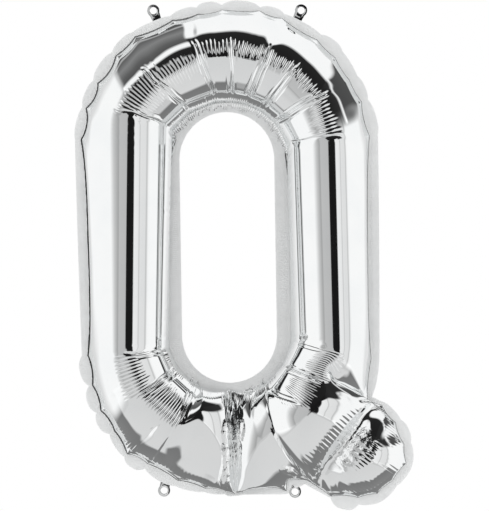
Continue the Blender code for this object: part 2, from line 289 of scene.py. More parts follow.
inflation = {
    # columns joined into one, slack in the fold, mm of noise, and runs of (steps, push in mm, stiffness)
    "levels": (
        (4, 28.0, 0.0, ((400, 0.21, 0.3), (150, 0.05, 0.3), (150, 0.01, 0.3))),
        (2, 31.0, 0.2, ((200, 0.03, 0.2), (200, 0.008, 0.2))),
        (1, 31.0, 0.12, ((150, 0.006, 0.05), (150, 0.0015, 0.05))),
    ),
    "slack": 0.02,          # along the ring
    "rimSlack": 0.06,       # and on top of it near the rim
    "tailSlack": 1.12,
    "evenedOver": 80,       # columns of the finest net that the slack is averaged over
    "drag": 0.9,
    "fastest": 0.72,        # mm in one step
    "mostPush": 3,          # times the pressure on a flat cell
    # Valleys that the fold and the neck press into the film: x, z and height of both ends, steepness
    "valleys": (
        (6.1, -348.1, 2.2, 5.4, -272.5, 1.4, 2.2),
        (107.5, -279.5, 3.6, 59.0, -343.0, 3.6, 1.8),
    ),
    "valleyHump": 6.5,      # how much higher their floors are halfway
    "tallest": 70.0,
    "seed": 7,
}


def slackShares(start, sheet, window):
    # how much shorter the round tube runs along the ring than the flat sheet, evened out over a window
    ratio = ringSteps(start) / np.maximum(ringSteps(sheet.flat), 1e-6)
    kernel = np.hanning(window + 2)[1:-1]
    kernel /= kernel.sum()
    padded = np.concatenate([ratio[-(window // 2):], ratio, ratio[:window // 2]], 0)
    even = [np.convolve(padded[:, j], kernel, "valid")[:len(ratio)] for j in range(ratio.shape[1])]
    return np.minimum(np.array(even).T, 1.0)


def cubic(p, t):
    # a smooth curve through four points, between the second and the third
    bend = 2 * p[0] - 5 * p[1] + 4 * p[2] - p[3] + t * (3 * (p[1] - p[2]) + p[3] - p[0])
    return p[1] + 0.5 * t * (p[2] - p[0] + t * bend)


def finer(x, count, rows):
    at = np.arange(count) * x.shape[1] / count
    column = np.floor(at).astype(int)
    wide = cubic([x[:, (column + k) % x.shape[1]] for k in (-1, 0, 1, 2)], (at - column)[None, :, None])
    top = x.shape[2] - 1
    at = np.arange(rows) * top / (rows - 1)
    row = np.minimum(np.floor(at).astype(int), top - 1)
    fine = cubic([wide[:, :, np.clip(row + k, 0, top)] for k in (-1, 0, 1, 2)], (at - row)[None, None, :])
    return fine.astype(np.float32)


def settle(a, b, rest, pull=0.5, push=0.5):
    d = b - a
    length = lengths(d) + 1e-9
    over = np.maximum((length - rest) / length, -1.0)
    over *= np.where(over > 0, pull, push)
    d *= over
    a += d
    b -= d


class Film:
    # A net of springs: two spare columns at the end repeat the first two, so that every pass is one slice.
    def __init__(self, x, sheet, crush):
        self.count, self.rows = x.shape[1:]
        self.sheet = sheet
        self.x = np.concatenate([x, x[:, :2]], 1).astype(np.float32)
        self.v = np.zeros_like(self.x)
        flat = np.concatenate([sheet.flat, sheet.flat[:, :2]], 1).astype(np.float32)
        self.along = lengths(flat[:, 1:] - flat[:, :-1]) * crush
        self.across = lengths(flat[:, :, 1:] - flat[:, :, :-1])
        self.skew = ((flat[:, 1:, 1:] - flat[:, :-1, :-1]) ** 2).sum(0)
        self.skew -= ((flat[:, :-1, 1:] - flat[:, 1:, :-1]) ** 2).sum(0)
        self.skew *= (crush[:, 1:] + crush[:, :-1]) / 4

    def diagonals(self):
        along = (self.along[:, 1:] + self.along[:, :-1]) / 2
        across = (self.across[1:] + self.across[:-1]) / 2
        self.rising = np.sqrt(np.maximum(along**2 + across**2 + self.skew, 0.01)).astype(np.float32)
        self.falling = np.sqrt(np.maximum(along**2 + across**2 - self.skew, 0.01)).astype(np.float32)
        self.area = along * across

    def pin(self):
        n = self.count
        self.x[::2, :n, 0] = self.sheet.inner.T
        self.x[::2, :n, -1] = self.sheet.weld.T
        self.x[1, :, (0, -1)] = 0
        self.x[:, n:] = self.x[:, :2]

    def sweep(self, stiffness):
        # the net's own springs, then stiffer ones over two cells, which only push
        x, n, m = self.x, self.count, self.rows
        for start in (0, 1):
            cells = slice(start, n + start, 2)
            after = slice(start + 1, n + start + 1, 2)
            settle(x[:, cells], x[:, after], self.along[cells])
            settle(x[:, cells, :-1], x[:, after, 1:], self.rising[cells])
            settle(x[:, cells, 1:], x[:, after, :-1], self.falling[cells])
            if start:
                x[:, 0] = x[:, n]
            x[:, n:] = x[:, :2]
        for start in (0, 1):
            stop = start + 2 * ((m - start) // 2)
            settle(x[:, :, start:stop:2], x[:, :, start + 1:stop:2], self.across[:, start:stop - 1:2])
        for start in (0, 2):
            four = x[:, start:n + start].reshape(3, n // 4, 4, m)
            along = self.along[:n]
            rest = (np.roll(along, -start, 0) + np.roll(along, -start - 1, 0)).reshape(n // 4, 4, m)
            settle(four[:, :, :2], four[:, :, 2:], rest[:, :2], 0.0, stiffness)
            if start:
                x[:, :2] = x[:, n:]
            x[:, n:] = x[:, :2]
        for start in range(4):
            a, b = x[:, :, start:m - 2:4], x[:, :, start + 2:m:4]
            wide = min(a.shape[2], b.shape[2])
            rest = self.across[:, start:m - 2:4][:, :wide] + self.across[:, start + 1:m - 1:4][:, :wide]
            settle(a[:, :, :wide], b[:, :, :wide], rest, 0.0, stiffness * 0.5)

    def pressure(self):
        x = self.x[:, :self.count]
        ring = np.roll(x, -1, 1) - np.roll(x, 1, 1)
        rows = np.empty_like(x)
        rows[:, :, 1:-1] = x[:, :, 2:] - x[:, :, :-2]
        rows[:, :, 0] = x[:, :, 1] - x[:, :, 0]
        rows[:, :, -1] = x[:, :, -1] - x[:, :, -2]
        area = 4 * np.concatenate([self.area[:self.count], self.area[:self.count, -1:]], 1)
        return np.clip(np.cross(rows, ring, axis=0) / area, -inflation["mostPush"], inflation["mostPush"])

    def run(self, steps, push, stiffness):
        for step in range(steps):
            if step % 10 == 0:
                limit = valleyLimit(self.x[0], self.x[2])
            before = self.x.copy()
            self.v[:, :self.count] = self.v[:, :self.count] * inflation["drag"] + self.pressure() * push
            self.x[:, :self.count] += self.v[:, :self.count]
            self.pin()
            self.sweep(stiffness * 0.5)
            np.minimum(self.x[1], 0.0, out=self.x[1])
            np.maximum(self.x[1], -limit, out=self.x[1])
            self.pin()
            self.v = np.clip(self.x - before, -inflation["fastest"], inflation["fastest"])


def valleyLimit(x, z):
    limit = np.full(x.shape, inflation["tallest"], np.float32)
    for x1, z1, high1, x2, z2, high2, slope in inflation["valleys"]:
        dx, dz = x2 - x1, z2 - z1
        t = np.clip(((x - x1) * dx + (z - z1) * dz) / (dx * dx + dz * dz), 0, 1)
        away = np.hypot(x - x1 - dx * t, z - z1 - dz * t)
        floor = high1 + (high2 - high1) * t + inflation["valleyHump"] * np.sin(math.pi * t)
        np.minimum(limit, floor + slope * away, out=limit)
    return limit


def blowUp():
    rng = np.random.default_rng(inflation["seed"])
    shape = None
    for perColumn, foldSlack, noise, runs in inflation["levels"]:
        sheet = flatSheet(perColumn, letter["rows"] // perColumn)
        start = roundedTube(sheet)
        ratio = slackShares(start, sheet, inflation["evenedOver"] // perColumn)
        tube = tubeShares(sheet)
        crush = ratio * (1 + inflation["slack"] + inflation["rimSlack"] * smooth(0.72, 0.98, tube))
        tail = sheet.neckShare < 0.97
        crush[tail] = ratio[tail] * inflation["tailSlack"]
        crush = np.minimum(crush, 1.0)
        shape = start if shape is None else finer(shape, *start.shape[1:])
        folded = np.isin(sheet.segment, letter["foldPinches"])
        loose = bell(tube - 1, 0.08) * tail[:, None] + folded[:, None]
        shape[1] += rng.normal(0, 1, shape[1].shape) * noise * np.clip(loose, 0, 1)
        film = Film(shape, sheet, np.concatenate([crush, crush[:1]], 0).astype(np.float32))
        columns = np.nonzero(folded)[0]
        film.along[columns] += foldSlack * np.sin(math.pi * sheet.across)[None, :] / len(columns)
        film.diagonals()
        film.pin()
        for steps, push, stiffness in runs:
            film.run(steps, push, stiffness)
        shape = film.x[:, :film.count].copy()
        print(f"film: {film.count} columns, deepest {-shape[1].min():.1f} mm", flush=True)
    return sheet, shape


# What the foil does close up

foil = {
    # Pleats across the inner half: outer end x, z, inner end x, z, depth in mm, depth of the dent beyond the
    # outer end, and the rim pinch where a straight side of the letter ends at this pleat
    "pleats": (
        (-77.9, -72.1, -43.9, -83.2, 0.7, 0.0, 30),
        (-60.7, -42.4, -28.8, -72.1, 1.1, 0.0, None),
        (-22.5, -20.5, -9.1, -62.7, 1.0, 0.35, None),
        (1.7, -22.0, 3.6, -61.6, 0.6, 0.0, None),
        (32.6, -23.3, 16.1, -63.7, 1.1, 1.6, None),
        (51.8, -40.0, 26.6, -70.9, 0.7, 0.0, None),
        (76.3, -57.2, 35.3, -80.6, 1.1, 0.5, None),
        (82.1, -91.1, 44.6, -95.4, 0.5, 0.0, 16),
        (-72.0, -246.6, -42.5, -243.0, 0.6, 0.0, 31),
        (-59.3, -274.2, -36.4, -258.1, 0.8, 0.0, None),
        (-31.7, -291.2, -24.5, -273.2, 0.6, 0.0, None),
        (71.3, -243.7, 45.4, -237.2, 0.6, 0.0, 15),
        (67.7, -266.8, 43.2, -255.7, 1.0, 0.6, None),
        (52.6, -281.9, 32.4, -274.0, 0.7, 0.0, None),
    ),
    # The half width in mm of the groove down a pleat; the banks beside it, by distance, half width and height
    # as a share of its depth; and the half widths of the short grooves near it and of the dent beyond it
    "groove": 0.75,
    "bank": (1.7, 0.6, 0.35),
    "shortGroove": 0.55,
    "dent": 4.2,
    # Stretches of puckers along the crest: x, z of both ends, height in mm, and the shares of the tube that
    # they run between
    "crestPuckers": (
        (83.5, -98.0, 76.3, -57.2, 0.55, 0.38, 0.60),
        (76.3, -57.2, 32.6, -23.3, 0.75, 0.45, 0.6),
        (32.6, -23.3, -22.5, -20.5, 0.85, 0.48, 0.62),
        (-22.5, -20.5, -60.7, -42.4, 0.6, 0.32, 0.54),
        (-60.7, -42.4, -77.9, -72.1, 0.55, 0.32, 0.60),
        (-77.9, -72.1, -75.0, -96.0, 0.4, 0.38, 0.60),
        (-74.0, -240.0, -59.3, -274.2, 0.5, 0.36, 0.62),
        (-59.3, -274.2, -31.7, -291.2, 0.6, 0.24, 0.52),
        (52.6, -281.9, 67.7, -266.8, 0.35, 0.30, 0.58),
        (67.7, -266.8, 74.0, -240.0, 0.4, 0.34, 0.60),
    ),
    "puckerColumns": 5,
    "weldPuckerHeight": 0.42,
    # The power that the shares of the tube are raised to, which moves the whole crest towards the rim
    "crestOut": 1.12,
    # Stretches whose crest leans back towards the counter: x, z of both ends, and the power there
    "leans": ((-31.7, -291.2, 0.5, -318.0, 0.7),),
    # Ridged stretches just inside the rim, as first and last pinch and height
    "rimPuckers": ((34, 38, 0.36), (7, 13, 0.2), (0, 2, 0.3)),
    # The film's margin on the weld band in mm, and where it is wider: first and last pinch, and width
    "margin": 0.2,
    "margins": ((24, 35, 1.05), (36, 38, 0.5)),
    # The low wall that the margin starts from: its height, how far inside the weld line its top and its foot
    # stand, the room that the film keeps from it, and the height of the margin itself
    "wall": {"high": 1.2, "top": 0.2, "foot": 0.05, "room": 0.25, "margin": 0.34},
    # Crumpled stretches: x, z of both ends, half width, height and distance between ridges in mm, and how
    # many barrels lie in a row
    "crumples": (
        (0.6, -294.5, -1.4, -341.0, 4.0, 1.5, 2.0, 3),
        (10.2, -294.0, 8.4, -310.5, 3.4, 1.3, 2.0, 1),
        (95.0, -294.0, 73.0, -323.0, 2.2, 0.9, 1.8, 1),
        (106.0, -306.5, 84.0, -332.5, 2.2, 0.8, 1.8, 1),
        (101.0, -300.5, 80.5, -328.0, 5.0, 0.4, 2.6, 1),
        (68.5, -324.0, 62.5, -336.0, 2.4, 1.0, 2.0, 1),
        (38.5, -328.5, 50.5, -334.0, 2.8, 1.0, 2.2, 1),
    ),
    "crumpleSeed": 17,
    # Fluted stretches: x, z of both ends, half width, height in mm and the distance between flutes
    "flutes": (
        (92.0, -287.0, 57.0, -325.5, 4.2, 0.3, 3.2),
        (108.5, -311.0, 90.0, -333.5, 3.4, 0.3, 2.7),
        (-77.5, -80.0, -76.0, -93.5, 9.0, 0.06, 2.9),
        (-68.0, -100.0, -67.8, -104.5, 14.0, 0.035, 2.1),
    ),
    # How often the film is drawn smooth all over, and near the rim along the ring
    "calmPasses": 6,
    "rimPasses": 40,
    # Puckered film that lies on the counter's weld band at its top, in mm, and single tips of it at the
    # bottom: x, z and length
    "skirt": 5.6,
    "spikes": (
        (2.0, -274.6, 4.0), (16.5, -272.6, 3.4), (25.0, -268.0, 4.2), (-22.0, -270.5, 2.4),
        (-26.0, -268.0, 3.2)),
}


def crumpleZone(sheet):
    # the tail's neck and the fold, where the film stays as the pressure left it
    neck = bell(tubeShares(sheet) - 1, 0.14) * (sheet.neckShare < 0.985)[:, None]
    folded = np.isin(sheet.segment, letter["foldPinches"]).astype(float)
    for _ in range(3):
        folded = np.maximum(folded, spread(folded, 6))
    return np.clip(neck + folded[:, None], 0, 1)


def calm(x, keep, passes):
    soft = x.copy()
    for _ in range(passes):
        wide = (np.roll(soft, 1, 1) + np.roll(soft, -1, 1)) / 4 + soft / 2
        tall = wide.copy()
        tall[:, :, 1:-1] = wide[:, :, 1:-1] / 2 + (wide[:, :, 2:] + wide[:, :, :-2]) / 4
        tall[:, :, (0, -1)] = soft[:, :, (0, -1)]
        soft = soft * keep + tall * (1 - keep)
    return soft


def nearestColumn(x, px, pz):
    away = (x[0] - px) ** 2 + (x[2] - pz) ** 2
    return np.unravel_index(np.argmin(away), away.shape)


def sheetPoint(x, column, tube, neckShare):
    count, rows = x.shape[1:]
    column = np.mod(column, count)
    c0 = np.floor(column).astype(int) % count
    c1 = (c0 + 1) % count
    f = column - np.floor(column)
    share = neckShare[c0] * (1 - f) + neckShare[c1] * f
    row = np.clip(tube * share * (rows - 1), 0, rows - 1.001)
    r0 = np.floor(row).astype(int)
    g = row - r0
    a = x[:, c0, r0] * (1 - f) + x[:, c1, r0] * f
    b = x[:, c0, r0 + 1] * (1 - f) + x[:, c1, r0 + 1] * f
    return a * (1 - g) + b * g


Pleat = namedtuple("Pleat", "outer outerShare inner innerShare rim depth dent")


def pleatColumns(x, sheet):
    # each pleat by the columns at its two ends and the shares of the tube there
    found = []
    count = x.shape[1]
    for ox, oz, ix, iz, depth, dent, pinch in foil["pleats"]:
        outer, outerRow = nearestColumn(x, ox, oz)
        inner, innerRow = nearestColumn(x, ix, iz)
        if abs(inner - outer) > count / 2:
            inner += count if inner < outer else -count
        outerShare = min(sheet.across[outerRow] / sheet.neckShare[outer], 0.62)
        innerShare = max(sheet.across[innerRow] / sheet.neckShare[inner % count], 0.03)
        rim = None if pinch is None else pinchColumn(sheet, pinch)
        found.append(Pleat(outer, outerShare, inner, innerShare, rim, depth, dent))
    return sorted(found, key=lambda pleat: pleat.outer)


def pinchColumn(sheet, pinch):
    return int(np.nonzero(sheet.segment == pinch % len(rimPinches))[0][0])


def pleatAt(pleat, tube):
    top = 0.75 if pleat.rim is None else pleat.outerShare
    share = (np.clip(tube, 0, top) - pleat.innerShare) / (pleat.outerShare - pleat.innerShare)
    column = pleat.inner + (pleat.outer - pleat.inner) * share
    if pleat.rim is not None:
        column = column + (pleat.rim - pleat.outer) * np.clip((tube - top) / (1 - top), 0, 1)
    return column


def straightSegments(x, sheet, pleats):
    # Between two pleats the film is rolled one way only, so the ring's arc becomes a chord.
    tube = tubeShares(sheet)
    columns = np.arange(x.shape[1])[:, None]
    shaped = x.copy()
    for before, after in zip(pleats, pleats[1:]):
        fade = (0.5, 0.66) if before.rim is None or after.rim is None else (0.8, 0.96)
        weight = plateau(0.0, 0.07, *fade, tube)
        low, high = pleatAt(before, tube), pleatAt(after, tube)
        i, j = np.nonzero((columns >= low) & (columns < high) & (weight > 0))
        low, high, share, w = low[i, j], high[i, j], tube[i, j], weight[i, j]
        t = (i - low) / (high - low)
        a, b = (sheetPoint(x, column, share, sheet.neckShare) for column in (low, high))
        shaped[:, i, j] = x[:, i, j] * (1 - w) + (a * (1 - t) + b * t) * w
    return shaped


def crestPower(sheet):
    whole = (sheet.neckShare > wholeTube).astype(float)
    return 1 + (foil["crestOut"] - 1) * spread(spread(whole, 20), 20)


def leanOver(x, sheet):
    across = sheet.across
    shaped = x.copy()
    count = x.shape[1]
    for column, power in enumerate(crestPower(sheet)):
        shaped[1, column] = np.interp(across**power, across, x[1, column])
    for x1, z1, x2, z2, power in foil["leans"]:
        first, last = nearestColumn(x, x1, z1)[0], nearestColumn(x, x2, z2)[0]
        step = 1 if (last - first) % count < count / 2 else -1
        steps = (last - first) * step % count
        for k in range(steps + 1):
            column = (first + k * step) % count
            weight = plateau(0, 0.32, 0.88, 1.0, k / steps)
            shaped[1, column] = np.interp(across ** (1 - (1 - power) * weight), across, x[1, column])
    return shaped


def outwardNormals(x):
    ring = np.roll(x, -1, 1) - np.roll(x, 1, 1)
    normal = np.cross(np.gradient(x, axis=2), ring, axis=0)
    return normal / (lengths(normal) + 1e-9)


def fingers(count, size):
    # the number of each column's pucker and the share of the way through it
    return np.arange(count) // size, np.arange(count) % size / size


def perFinger(rng, low, high, which):
    return rng.uniform(low, high, which.max() + 1)[which]


def calmRim(x, across, keep, passes):
    # the outer third is drawn smooth along the ring, as far as the last few rows
    weight = 0.5 * smooth(0.6, 0.72, across) * (1 - smooth(0.94, 1.0, across)) * (1 - keep)
    for _ in range(passes):
        x = x + ((np.roll(x, 1, 1) + np.roll(x, -1, 1)) / 2 - x) * weight
    return x


def crestFingers(shaped, tube, rng):
    count, rows = shaped.shape[1:]
    which, part = fingers(count, foil["puckerColumns"])
    strength, low, high = np.zeros(count), np.full(count, 0.4), np.full(count, 0.6)
    for x1, z1, x2, z2, height, lowEnd, highEnd in foil["crestPuckers"]:
        first, last = sorted((nearestColumn(shaped, x1, z1)[0], nearestColumn(shaped, x2, z2)[0]))
        stretch = slice(first, last + 1)
        strength[stretch], low[stretch], high[stretch] = height, lowEnd, highEnd
    low = (spread(low, 4) + perFinger(rng, -0.02, 0.03, which))[:, None]
    high = (spread(high, 4) + perFinger(rng, -0.03, 0.02, which))[:, None]
    strength = spread(strength, 4) * (1 - smooth(0.9, 1.5, spread(ringSteps(shaped[:, :, rows // 2]), 2)))
    size = (perFinger(rng, 0.65, 1.0, which) * strength)[:, None]
    ridge = (np.sin(math.pi * part) ** 0.8 - 0.55)[:, None]
    return ridge * size * plateau(low, low + 0.07, high - 0.04, high, tube)


def edgeFingers(sheet, tube, rng):
    # short puckers that stand on the counter's weld, and ridges just inside the rim
    count = len(tube)
    which, part = fingers(count, foil["puckerColumns"])
    reach = perFinger(rng, 0.05, 0.17, which)[:, None]
    size = perFinger(rng, 0.3, 1.0, which)
    curved = spread((~sheet.straight).astype(float), 12) * 0.88 + 0.12
    ridge = (np.sin(math.pi * part) - 0.6) * size * curved * foil["weldPuckerHeight"]
    raised = ridge[:, None] * plateau(0.0, 0.02, reach * 0.6, reach, tube)
    strength = np.zeros(count)
    for first, last, height in foil["rimPuckers"]:
        strength[pinchColumn(sheet, first):pinchColumn(sheet, last)] = height
    which, part = fingers(count, 4)
    ridge = (np.sin(math.pi * part) - 0.6) * perFinger(rng, 0.4, 1.0, which) * spread(strength, 6)
    return raised + ridge[:, None] * plateau(0.84, 0.92, 0.95, 0.985, sheet.across[None, :])


def pleatGrooves(shaped, tube, pleats, rng):
    # a groove between two low banks down each pleat, and shorter grooves beside it
    raised = np.zeros_like(tube)
    count = len(tube)
    spacing = ringSteps(shaped)
    columns = np.arange(count)[:, None]
    bankAt, bankWide, bankHigh = foil["bank"]
    for pleat in pleats:
        outer, inner = pleat.outerShare, pleat.innerShare
        wobble = rng.normal(0, 0.5, 4)
        middle = pleatAt(pleat, tube) + sum(w * np.sin(tube * (9 + 7 * k) + k) for k, w in enumerate(wobble))
        away = ((columns - middle + count / 2) % count - count / 2) * spacing
        groove = bankHigh * bell(np.abs(away) - bankAt, bankWide) - bell(away, foil["groove"])
        part = (tube - inner) / (outer - inner)
        offsets = rng.uniform(1.8, 4.2, 4) * (1, -1, 1, -1)
        shares, begins, ends = (rng.uniform(*span, 4) for span in ((0.25, 0.6), (0.0, 0.5), (0.5, 1.0)))
        for offset, share, begin, end in zip(offsets, shares, begins, ends):
            fade = plateau(begin - 0.1, begin + 0.1, end - 0.1, end + 0.1, part)
            groove = groove - share * fade * bell(away - offset, foil["shortGroove"])
        raised += groove * plateau(inner - 0.01, inner + 0.06, outer - 0.05, outer + 0.03, tube) * pleat.depth
        # a wide dent beyond the pleat's outer end, so that the crest swells between two pleats
        raised -= pleat.dent * plateau(outer - 0.02, outer + 0.13, 0.8, 0.98, tube) * bell(away, foil["dent"])
    return raised


def alongStretch(x, z, x1, z1, x2, z2):
    # each point's distance along a stretch and beside it, and the stretch's length
    length = math.hypot(x2 - x1, z2 - z1)
    ux, uz = (x2 - x1) / length, (z2 - z1) / length
    return (x - x1) * ux + (z - z1) * uz, (z - z1) * ux - (x - x1) * uz, length


def crumples(x, z):
    # ridges that run with each stretch, broken into facets by slanting creases: their height and their place
    rng = np.random.default_rng(foil["crumpleSeed"])
    raised, where = np.zeros_like(x), np.zeros_like(x)
    for *ends, wide, high, spacing, barrels in foil["crumples"]:
        along, aside, length = alongStretch(x, z, *ends)
        part = np.clip(along / length, 0, 1) * barrels
        waist = np.sin(math.pi * (part % 1)) ** 0.5
        girth = wide * (0.55 + 0.45 * waist)
        barrel = np.sqrt(np.clip(1 - (aside / girth) ** 2, 0, 1)) * (0.35 + 0.65 * waist)
        inside = plateau(-1.5, 1.0, length - 1.0, length + 1.5, along)
        raised += high * barrel * inside
        mask = np.exp(-((aside / (girth * 1.1)) ** 6)) * inside
        for k in range(5):
            slant = rng.uniform(-0.35, 0.35) if k < 3 else rng.uniform(1.0, 2.1)
            period = spacing * rng.uniform(0.8, 1.5) * (1 if k < 3 else 2.2)
            bend = 0.2 * np.sin(along / rng.uniform(3, 6) + k)
            wave = (aside * math.cos(slant) + along * math.sin(slant)) / period + bend + rng.uniform(0, 1)
            raised += mask * (np.abs(wave % 1 - 0.5) * 4 - 1) * period * 0.03
        where = np.maximum(where, mask)
    return raised, where


def flutes(x, z):
    raised = np.zeros_like(x)
    for *ends, wide, high, period in foil["flutes"]:
        along, aside, length = alongStretch(x, z, *ends)
        inside = plateau(-period, period, length - period, length + period, along)
        wave = np.abs(np.sin(math.pi * along / period)) - 0.6
        raised += high * inside * np.exp(-((aside / wide) ** 4)) * wave
    return raised


def layMargins(x, sheet, rng):
    # The last row lies flat on the weld band, from the foot of a low wall that stands on the weld line.
    wide = np.full(x.shape[1], foil["margin"])
    for first, last, width in foil["margins"]:
        wide[pinchColumn(sheet, first):pinchColumn(sheet, last)] = width
    wide = spread(wide, 6) * rng.uniform(0.75, 1.1, len(wide))
    plan = x[::2]
    line = plan[:, :, -1].copy()
    tangent = np.roll(line, -2, 1) - np.roll(line, 2, 1)
    out = np.array([spread(tangent[1], 1), spread(-tangent[0], 1)])
    out /= lengths(out) + 1e-9
    wall = foil["wall"]
    for row in range(-20, -3):
        over = ((plan[:, :, row] - line) * out).sum(0)
        plan[:, :, row] -= np.maximum(over + wall["room"], 0) * out
    x[1, :, -3] = np.minimum(x[1, :, -3], -wall["high"])
    for row, reach in ((-3, -wall["top"]), (-2, -wall["foot"]), (-1, wide)):
        plan[:, :, row] = line + out * reach
    x[1, :, -2:] = -wall["margin"]


def laySkirt(x, rng):
    # The first row is drawn out over the counter's weld band, in puckers at the top and in single tips at
    # the bottom.
    x[1, :, 0] = -0.3
    which, part = fingers(x.shape[1], foil["puckerColumns"] + 1)
    plan = x[::2]
    line = plan[:, :, 0].copy()
    tx, tz = letter["topCentre"]
    skirted = smooth(tz - 8, tz + 22, line[1])
    pucker = np.sin(math.pi * part)
    reach = foil["skirt"] * skirted * perFinger(rng, 0.25, 1.0, which) * (0.3 + 0.7 * pucker)
    inwards = np.array([[tx], [tz]]) - line
    plan[:, :, 1] += (line - plan[:, :, 1]) * skirted
    x[1, :, 1] += (-0.5 - rng.uniform(0, 0.4, len(part)) - x[1, :, 1]) * skirted
    plan[:, :, 0] += inwards / lengths(inwards) * reach
    x[1, :, 0] -= 0.2 * reach * pucker**3
    for px, pz, long in foil["spikes"]:
        middle = int(np.argmin((x[0, :, 0] - px) ** 2 + (x[2, :, 0] - pz) ** 2))
        for k in range(-3, 4):
            column = (middle + k) % x.shape[1]
            near = 1 - abs(k) / 3.5
            inwards = plan[:, column, 0] - plan[:, column, 2]
            plan[:, column, 0] += inwards / (lengths(inwards) + 1e-9) * long * near
            x[1, column, 0] -= near * 0.9


def closeUp(x, sheet, seed):
    rng = np.random.default_rng(seed)
    keep = crumpleZone(sheet)
    base = calm(x, keep, foil["calmPasses"])
    pleats = pleatColumns(base, sheet)
    shaped = calm(straightSegments(base, sheet, pleats), keep, 1)
    across = sheet.across[None, :]
    shaped = leanOver(calmRim(shaped, across, keep, foil["rimPasses"]), sheet)
    tube = tubeShares(sheet) ** crestPower(sheet)[:, None]
    raised = crestFingers(shaped, tube, rng)
    raised += edgeFingers(sheet, tube, rng)
    raised += pleatGrooves(shaped, tube, pleats, rng)
    folds = crumples(shaped[0], shaped[2])[0] + flutes(shaped[0], shaped[2])
    raised += folds * plateau(0.02, 0.08, 0.93, 0.98, across)
    shaped = shaped + outwardNormals(shaped) * raised
    shaped[:, :, (0, -1)] = base[:, :, (0, -1)]
    shaped[1] = np.minimum(shaped[1], 0)
    layMargins(shaped, sheet, rng)
    laySkirt(shaped, rng)
    return shaped


# Meshes

def newObject(name, data):
    made = bpy.data.objects.new(name, data)
    bpy.context.scene.collection.objects.link(made)
    return made


def newPiece(name, verts, faces, material, node):
    mesh = bpy.data.meshes.new(name)
    mesh.from_pydata(verts, [], faces)
    mesh.shade_smooth()
    mesh.materials.append(material)
    piece = newObject(name, mesh)
    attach(piece, "root")
    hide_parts(node)
    return piece


def addAttribute(mesh, name, kind, values):
    key = "vector" if kind == "FLOAT_VECTOR" else "value"
    mesh.attributes.new(name, kind, "POINT").data.foreach_set(key, values.ravel().astype(np.float32))


def quads(net, turned=False):
    # the faces of a net of vertex numbers that is closed from its last column to its first
    after = np.roll(net, -1, 0)
    corners = [net[:, :-1], after[:, :-1], after[:, 1:], net[:, 1:]]
    return np.stack(corners[::-1] if turned else corners, -1).reshape(-1, 4).tolist()


def lowestNear(high, reach):
    low = np.minimum(high, np.minimum(np.roll(high, 1, 0), np.roll(high, -1, 0)))
    wide = low.copy()
    for k in range(1, reach + 1):
        wide[:, k:] = np.minimum(wide[:, k:], low[:, :-k])
        wide[:, :-k] = np.minimum(wide[:, :-k], low[:, k:])
    return wide


# The film's inner face: one row for so many of the outer one's, the gap between the two, and its least height
innerFace = {"every": 6, "gap": 0.6, "least": 0.12}


def filmPiece(name, x, side, material, node):
    # The outer face has every row. The inner face has a few and lies inside the lowest film near each.
    count, rows = x.shape[1:]
    points = x.copy()
    points[1] *= -side
    every = slice(innerFace["every"], -1, innerFace["every"])
    inside = points[:, :, every].copy()
    low = lowestNear(-x[1], innerFace["every"])[:, every]
    inside[1] = side * np.maximum(low - innerFace["gap"], innerFace["least"])
    verts = np.concatenate([part.transpose(1, 2, 0).reshape(-1, 3) * mm for part in (points, inside)])
    grid = np.arange(count * rows).reshape(count, rows)
    coarse = np.arange(count * rows, len(verts)).reshape(count, -1)
    coarse = np.concatenate([grid[:, :1], coarse, grid[:, -1:]], 1)
    faces = quads(grid, side > 0) + quads(coarse, side < 0)
    mesh = newPiece(name, verts.tolist(), faces, material, node).data
    ends = np.zeros(len(mesh.edges) * 2, np.int32)
    mesh.edges.foreach_get("vertices", ends)
    rest = np.full(len(verts) - grid.size, -1)
    rowOf = np.concatenate([np.tile(np.arange(rows), count), rest])[ends.reshape(-1, 2)]
    sharp = (rowOf[:, 0] == rowOf[:, 1]) & np.isin(rowOf[:, 0], (0, rows - 2, rows - 1))
    mesh.attributes.new("sharp_edge", "BOOLEAN", "EDGE").data.foreach_set("value", sharp)
    addAttribute(mesh, "crumple", "FLOAT", np.concatenate([crumples(x[0], x[2])[1].ravel(), rest * 0]))


plyThick = 0.5      # two welded plies, in mm


def bandPiece(name, inner, outer, lift, material, node, section):
    # A closed strip between two lines: the front face across, round the edge, and the back face home.
    lines = []
    for share, height in section:
        at = inner + (outer - inner) * share
        lines.append(np.stack([at[:, 0], np.zeros(len(at)) + lift(share) + height * plyThick, at[:, 1]], -1))
    verts = (np.stack(lines, 1).reshape(-1, 3) * mm).tolist()
    grid = np.arange(len(verts)).reshape(len(inner), -1)
    faces = quads(np.concatenate([grid, grid[:, :1]], 1))
    return newPiece(name, verts, faces, material, node)


# Materials

class Value:
    # wraps a socket, so that sums on it add Math nodes
    def __init__(self, nodes, socket):
        self.nodes = nodes
        self.socket = socket

    def __add__(self, other):
        return self.nodes.sum("ADD", self, other)

    def __sub__(self, other):
        return self.nodes.sum("SUBTRACT", self, other)

    def __rsub__(self, other):
        return self.nodes.sum("SUBTRACT", other, self)

    def __mul__(self, other):
        return self.nodes.sum("MULTIPLY", self, other)

    def __truediv__(self, other):
        return self.nodes.sum("DIVIDE", self, other)

    __radd__ = __add__


